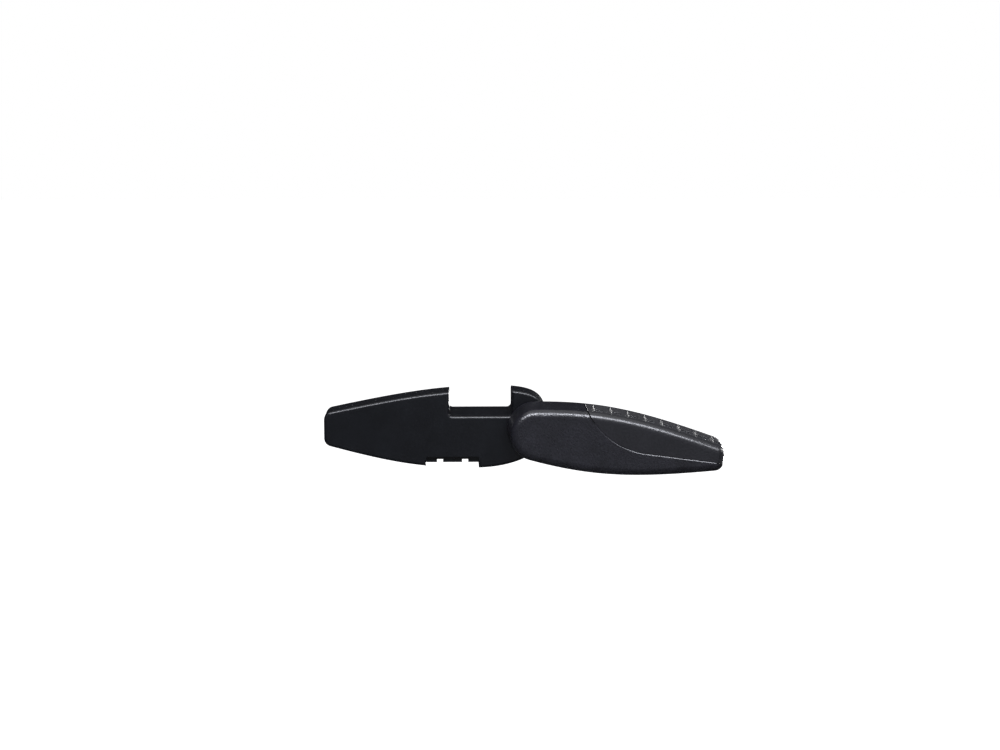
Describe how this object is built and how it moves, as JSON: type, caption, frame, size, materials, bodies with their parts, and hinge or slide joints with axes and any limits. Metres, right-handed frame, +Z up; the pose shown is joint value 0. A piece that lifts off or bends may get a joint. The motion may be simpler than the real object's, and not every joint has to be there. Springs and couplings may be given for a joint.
{
  "type": "roof crossbar end cap",
  "caption": "Black moulded end cap for a wing-section roof crossbar, with a teardrop cover that swings aside in its own plane to open the track slot.",
  "frame": {"origin": "middle of the bar's section, in the plane of the bar's cut end", "axes": "+Z up, +X towards the bar's nose, +Y along the bar and into it"},
  "size_m": [0.1416, 0.0446, 0.0284],
  "materials": {
    "plug_plastic": "smooth moulded black",
    "cover_plastic": "grained moulded black",
    "grip_rubber": "soft-touch black",
    "pin_steel": "turned",
    "washer_plastic": "natural",
    "spring_steel": "oiled",
    "washer_steel": "zinc plated",
    "clip_steel": "phosphated"
  },
  "bodies": {
    "base": {"end_plug": "plug_plastic"},
    "cover": {"cover_shell": "cover_plastic", "grip_pad": "grip_rubber", "pivot_pin": "pin_steel", "thrust_washer": "washer_plastic", "spring_washer": "spring_steel", "backing_washer": "washer_steel", "retaining_clip": "clip_steel"}
  },
  "joints": [
    {"name": "cover_swing", "type": "hinge", "parent": "base", "child": "cover", "pos_m": [0.032, -0.013, 0.0008], "axis": [0, 1, 0], "range_deg": [-187.5, 0]}
  ]
}
